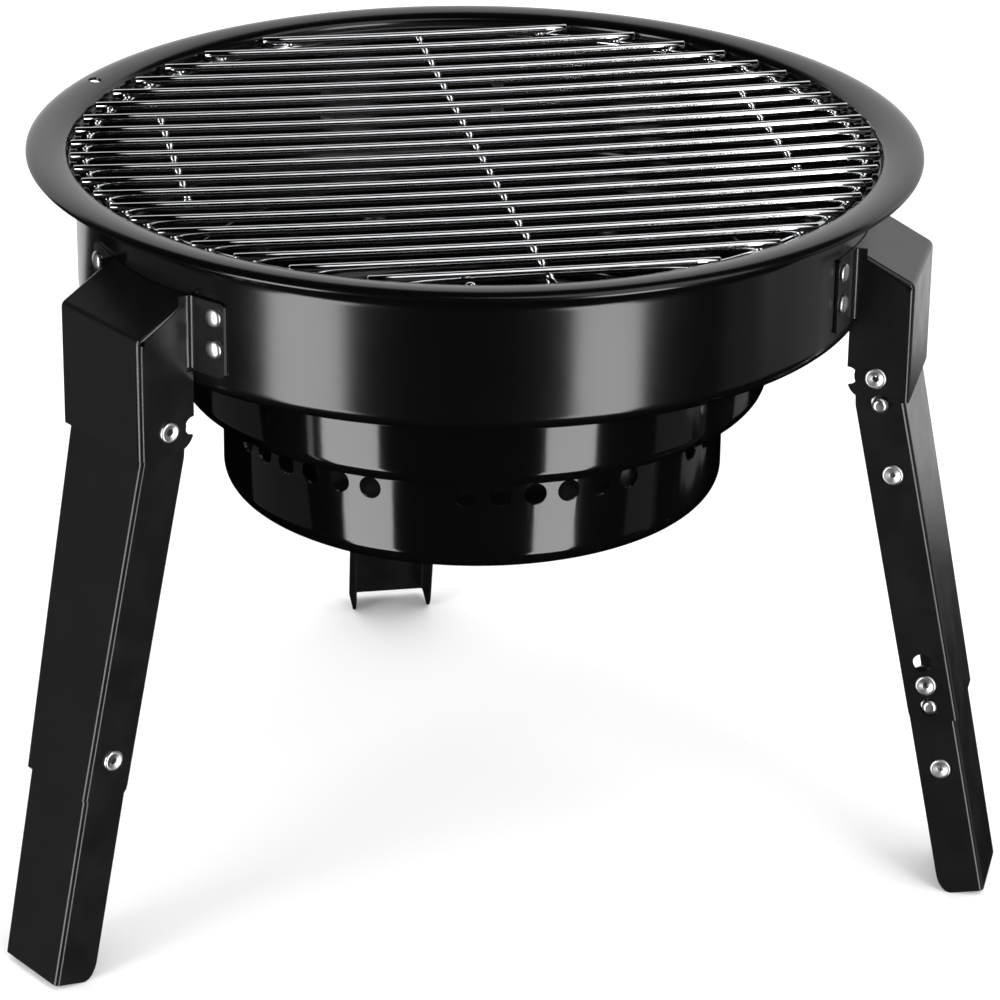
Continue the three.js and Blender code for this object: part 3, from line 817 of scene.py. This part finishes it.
def bracket_reliefs(shell):
    """The seam where the sloping top lies over the cheeks, and the small holes that end each bend."""
    half = BRACKET_HALF
    front = BRACKET_FACE - 2.4
    back = BAND_RADIUS + 2.0
    rise = (BRACKET_SHOULDER + ROOT_RISE - BRACKET_TOP) / (BRACKET_FACE - BRACKET_ROOT)
    under = RIM_HEIGHT + BRACKET_TOP - LEG_SHEET
    seam_end = under + rise * (BRACKET_FACE - back)
    seam = [(front, under), (back, seam_end), (back, seam_end - SEAM_WIDTH), (front, under - SEAM_WIDTH)]
    for side in (-1, 1):
        near, far = sorted((side * (half - 0.5), side * (half + 2)))
        boolean(shell, extruded("seam", seam, near, far, along_y), "DIFFERENCE")
        hole = circle((side * (half + 0.6), RIM_HEIGHT + TAB_BOTTOM), RELIEF_RADIUS)
        end = extruded("bend_end", hole, BAND_RADIUS - 4, BAND_RADIUS + 1, along_x)
        boolean(shell, end, "DIFFERENCE")
    corners = cross_pins("corners", [(front, under - SEAM_WIDTH, RELIEF_RADIUS, 0)], half + 2)
    return boolean(shell, corners, "DIFFERENCE")


def bracket_tab(side):
    """The strip that turns out of a cheek and lies along the bowl's band, with rounded outer corners."""
    sheet = LEG_SHEET
    reach = BAND_RADIUS + BAND_GAP
    bend = 2.4
    cheek = BRACKET_HALF
    edge = math.sqrt((reach + sheet + bend) ** 2 - (cheek + bend) ** 2)
    outline = [(edge + 3, cheek - sheet), (edge + 3, cheek)]
    start = math.degrees(math.atan2(cheek + bend, edge))
    outline += arc((edge, cheek + bend), bend, -90, -180 + start, 5)
    stop = math.degrees(math.asin(TAB_REACH / reach))
    outline += arc((0, 0), reach + sheet, start, stop, 10)[1:]
    outline += arc((0, 0), reach - 1.0, stop, math.degrees(math.asin((cheek - sheet) / reach)), 12)
    low = RIM_HEIGHT + TAB_BOTTOM
    high = RIM_HEIGHT + TAB_TOP
    tab = extruded("tab", [(x, side * y) for x, y in outline], low, high, along_z)
    corner = TAB_CORNER
    window = [(-CUTTER_REACH, low), (TAB_REACH - corner, low)]
    window += arc((TAB_REACH - corner, low + corner), corner, -90, 0, 6)
    window += arc((TAB_REACH - corner, high - corner), corner, 0, 90, 6)
    window += [(-CUTTER_REACH, high)]
    frame_cut = extruded("window", [(side * y, z) for y, z in window], 140, 210, along_x)
    return boolean(tab, frame_cut, "INTERSECT")


# ---- spring buttons and rivets -------------------------------------------------------------------
def button_spring(span):
    """The flat spring that runs from its rivet to the button at its free end."""
    half_sheet = SPRING_SHEET / 2
    low = -SPRING_END
    high = span + SPRING_END
    section = [(-half_sheet, low), (-half_sheet, high), (half_sheet, high), (half_sheet, low)]
    strip = extruded("strip", section, -SPRING_HALF_WIDTH, SPRING_HALF_WIDTH, along_x)
    return bevelled(strip, 0.12)


def button(height):
    """A domed button that stands on z = 0."""
    crown = 2.0
    outline = [(0, -0.2), (BUTTON_RADIUS, -0.2)]
    outline += arc((BUTTON_RADIUS - crown, height - crown), crown, 0, 90, 8) + [(0, height)]
    return outward(turned("button", outline, 32))


def sprung_button(inside, outside, span):
    """A spring with its button; inside is where the spring lies, outside how far the button stands out."""
    dome = moved(button(outside + 2.4), shift(0, 0, span) @ Matrix.Rotation(math.pi / 2, 4, "X"))
    return moved(smoothed(joined([button_spring(span), dome], "button_spring"), 40), shift(0, inside, 0))


def rivet_foot(grip, shank, tail):
    """The part of a rivet's outline below its head: the set tail, then the shank up to z = 0."""
    set_edge = [(tail - 0.3, -grip - TAIL_SHEET), (tail, -grip - 0.6), (tail, -grip)]
    return set_edge + [(shank, -grip), (shank, 0)]


def domed_rivet(head, height, shank, grip, tail):
    """A round-head rivet with its head on +Z and the sheets below z = 0."""
    edge = 0.25
    steps = 8
    outline = [(0, -grip - TAIL_SHEET)] + rivet_foot(grip, shank, tail) + [(head, 0), (head, edge)]
    for i in range(1, steps + 1):
        angle = math.radians(90 * i / steps)
        radius = head * math.cos(angle) if i < steps else 0
        outline.append((radius, edge + (height - edge) * math.sin(angle)))
    return smoothed(outward(turned("rivet", outline, 32)), 50)


def hollow_rivet(grip, shank, tail):
    """A tubular rivet: a rolled head, dished to a bore that runs right through to the dark leg."""
    bore = min(shank - 0.35, RIVET_BORE)
    rolled_edge = [(4.5, 0), (4.7, 0.25), (4.6, 0.65), (4.25, 0.95), (3.7, 1.12)]
    dish = [(3.2, 1.0), (2.6, 0.8), (bore + 0.5, 0.6), (bore + 0.15, 0.45), (bore, 0.15)]
    outline = [(bore, -grip - TAIL_SHEET)] + rivet_foot(grip, shank, tail) + rolled_edge + dish
    return smoothed(outward(turned("hollow_rivet", outline, 40)), 40)


def on_cheek(obj, side, x, distance, z):
    """Stands a rivet on a cheek, its seat this far from the middle plane."""
    return moved(obj, shift(x, side * distance, z) @ Matrix.Rotation(-side * math.pi / 2, 4, "X"))


def half_width(top, bottom, length, depth):
    """Half of a tapered section's width at this depth below its pivot."""
    return top + (bottom - top) * depth / length


# ---- putting it together -------------------------------------------------------------------------
def build_bowl():
    """The bowl's three stages and both grates."""
    stands_for(upper_ring(), "upper_ring", SATIN_ENAMEL)
    stands_for(middle_ring(), "middle_ring", ENAMEL)
    stands_for(fire_pan(), "fire_pan", ENAMEL)
    stands_for(cooking_grate(), "cooking_grate", CHROME)
    stands_for(charcoal_grate(), "charcoal_grate", DARK_WIRE)


def leg_frames(azimuth):
    """Where one leg's bracket, middle section and lower section stand, as three matrices."""
    around = about_z(azimuth)
    splayed = Matrix.Rotation(-SPLAY, 4, "Y")
    knee_at = splayed @ Vector((HIP_INSET - KNEE_INSET, 0, -MID_LENGTH))
    hip = around @ shift(HIP_RADIUS, 0, HIP_HEIGHT) @ splayed
    knee = around @ shift(HIP_RADIUS + knee_at.x, 0, HIP_HEIGHT + knee_at.z) @ splayed
    return around, hip, knee


def place_pivot_rivets(number, side_name, side, around, hip):
    """The hollow rivets of the hip and the knee on one cheek."""
    hip_rivet = hollow_rivet(HIP_GRIP, PIVOT_SHANK, PIVOT_TAIL)
    on_cheek(hip_rivet, side, HIP_RADIUS, BRACKET_HALF + SEAT_GAP, HIP_HEIGHT)
    stands_for(moved(hip_rivet, around), f"hip_rivet_{number}_{side_name}", RIVET)
    knee_half = half_width(MID_TOP_HALF, MID_BOTTOM_HALF, MID_LENGTH, MID_LENGTH)
    knee_rivet = hollow_rivet(KNEE_GRIP, PIVOT_SHANK, PIVOT_TAIL)
    on_cheek(knee_rivet, side, HIP_INSET - KNEE_INSET, knee_half + SEAT_GAP, -MID_LENGTH)
    stands_for(moved(knee_rivet, hip), f"knee_rivet_{number}_{side_name}", RIVET)


def place_tab_rivets(number, side_name, side, azimuth):
    """The two round-head rivets that hold one tab of a bracket to the band."""
    for row_name, height in zip(("top", "bottom"), TAB_RIVET_HEIGHTS):
        grip = BOWL_SHEET + LEG_SHEET + 1.1
        rivet = domed_rivet(TAB_RIVET_HEAD, TAB_RIVET_DOME, TAB_RIVET_SHANK, grip, TAB_RIVET_TAIL)
        seat = shift(BAND_RADIUS + LEG_SHEET + 0.45, 0, RIM_HEIGHT + height)
        turn = about_z(azimuth + tab_turn(side * TAB_RIVET_OFFSET))
        moved(rivet, turn @ seat @ Matrix.Rotation(math.pi / 2, 4, "Y"))
        stands_for(rivet, f"bracket_rivet_{number}_{side_name}_{row_name}", RIVET)


def place_springs(number, hip, knee):
    """Both spring buttons of a leg and the rivets that hold them inside its sections."""
    hip_depth = HIP_BUTTON + HIP_SPRING_SPAN
    knee_depth = KNEE_BUTTON + KNEE_SPRING_SPAN
    hip_flank = half_width(MID_TOP_HALF, MID_BOTTOM_HALF, MID_LENGTH, hip_depth)
    knee_flank = half_width(LOWER_TOP_HALF, LOWER_BOTTOM_HALF, LOWER_LENGTH, knee_depth)
    hip_spring = sprung_button(-hip_flank + LEG_SHEET + 1.5, BRACKET_HALF - hip_flank + 3, HIP_SPRING_SPAN)
    moved(hip_spring, hip @ shift(0, 0, -hip_depth))
    stands_for(hip_spring, f"hip_button_spring_{number}", SPRING)
    knee_spring = sprung_button(-knee_flank + LEG_SHEET + 1.0, 3.2, KNEE_SPRING_SPAN)
    moved(knee_spring, knee @ shift(0, 0, -knee_depth))
    stands_for(knee_spring, f"knee_button_spring_{number}", SPRING)
    for key, flank, grip, depth, matrix in (
        ("hip", hip_flank, HIP_SPRING_GRIP, hip_depth, hip),
        ("knee", knee_flank, KNEE_SPRING_GRIP, knee_depth, knee),
    ):
        rivet = on_cheek(hollow_rivet(grip, SPRING_SHANK, SPRING_TAIL), -1, 0, flank + SEAT_GAP, -depth)
        stands_for(moved(rivet, matrix), f"{key}_spring_rivet_{number}", RIVET)


def build_leg(number, azimuth, shapes):
    """One leg with its bracket, rivets and springs, at its place around the bowl."""
    around, hip, knee = leg_frames(azimuth)
    for key, matrix in (("bracket", around), ("mid", hip), ("lower", knee)):
        piece = bpy.data.objects.new(key, shapes[key].data.copy())
        bpy.context.scene.collection.objects.link(piece)
        stands_for(moved(piece, matrix), f"leg_{key}_{number}", POWDER)
    for side_name, side in (("left", 1), ("right", -1)):
        place_pivot_rivets(number, side_name, side, around, hip)
        place_tab_rivets(number, side_name, side, azimuth)
    place_springs(number, hip, knee)


def build_legs():
    """The three legs, all made from one bracket, one middle section and one lower section."""
    shapes = {"bracket": bracket(), "mid": mid_section(), "lower": lower_section()}
    for number, azimuth in enumerate(LEG_AZIMUTHS, 1):
        build_leg(number, azimuth, shapes)
    for shape in shapes.values():
        bpy.data.objects.remove(shape)


# ---- studio --------------------------------------------------------------------------------------
def floor():
    low = CAD_BOX[0][2]
    half = FLOOR_HALF
    corners = [(-half, -half, low), (half, -half, low), (half, half, low), (-half, half, low)]
    mesh = bpy.data.meshes.new("floor")
    mesh.from_pydata(corners, [], [(0, 1, 2, 3)])
    obj = bpy.data.objects.new("floor", mesh)
    bpy.context.scene.collection.objects.link(obj)
    material, _, shader = new_material("pale_floor")
    shader.inputs["Base Color"].default_value = (0.9, 0.9, 0.9, 1)
    shader.inputs["Roughness"].default_value = 0.9
    mesh.materials.append(material)
    obj.visible_glossy = False
    obj.visible_shadow = False


def softbox(name, place, target, size, glow):
    """A rectangular light of a given brightness; place and target are metres in the camera's own turn."""
    data = bpy.data.lights.new(name, "AREA")
    data.shape = "RECTANGLE"
    data.size, data.size_y = size
    data.energy = glow * math.pi * size[0] * size[1]
    obj = bpy.data.objects.new(name, data)
    turn = about_z(VIEW_TURN)
    obj.location = turn @ Vector(place)
    aim = turn @ Vector(target) - obj.location
    obj.rotation_euler = aim.to_track_quat("-Z", "Y").to_euler()
    obj.visible_camera = False
    bpy.context.scene.collection.objects.link(obj)


def around_object(degrees, distance, height):
    """A place this many degrees to the right of the camera, as seen from above."""
    angle = math.radians(degrees)
    return (distance * math.sin(angle), -distance * math.cos(angle), height)


def studio():
    scene = bpy.context.scene
    scene.view_settings.view_transform = "Standard"
    world = bpy.data.worlds.new("studio")
    world.use_nodes = True
    world.node_tree.nodes["Background"].inputs["Color"].default_value = (1, 1, 1, 1)
    world.node_tree.nodes["Background"].inputs["Strength"].default_value = WORLD_GLOW
    scene.world = world
    world.cycles_visibility.glossy = False
    floor()
    middle = (0, 0, 0.02)
    low_middle = (0, 0, STRIP_DROP)
    for name, degrees, width in (("strip_left", -47, 0.74), ("strip_right", 37.5, 0.62)):
        place = around_object(degrees, STRIP_DISTANCE, STRIP_DROP)
        softbox(name, place, low_middle, (width, STRIP_HEIGHT), STRIP_GLOW)
    softbox("backdrop", (0, 2.6, 0.5), middle, (7.0, 3.4), 0.9)
    softbox("right_wing", around_object(112, 3.0, 0.2), middle, (2.6, 3.2), 0.32)
    softbox("left_fill", around_object(-98, 2.8, -0.4), middle, (2.2, 2.2), 0.12)
    softbox("right_fill", around_object(84, 2.8, -0.6), middle, (0.9, 1.8), 0.16)
    softbox("key", (0.75, -0.45, 1.35), (0.2, 0, 0.15), (1.1, 1.5), 1.3)


# ---- camera --------------------------------------------------------------------------------------
def camera():
    """Stands where the photo was taken from, looking down on the bowl."""
    data = bpy.data.cameras.new("camera")
    data.lens = CAMERA_LENS
    data.sensor_width = 36
    data.clip_end = 100
    obj = bpy.data.objects.new("camera", data)
    turn = about_z(VIEW_TURN - CAMERA_YAW)
    tilt = Matrix.Rotation(math.radians(90 - CAMERA_PITCH), 4, "X")
    roll = Matrix.Rotation(math.radians(CAMERA_ROLL), 4, "Z")
    place = about_z(VIEW_TURN) @ Vector((0, -CAMERA_DISTANCE, CAMERA_RISE + RIM_HEIGHT * MM))
    obj.matrix_world = Matrix.Translation(place) @ turn @ tilt @ roll
    bpy.context.scene.collection.objects.link(obj)
    bpy.context.scene.camera = obj


camera()
build_bowl()
build_legs()
studio()
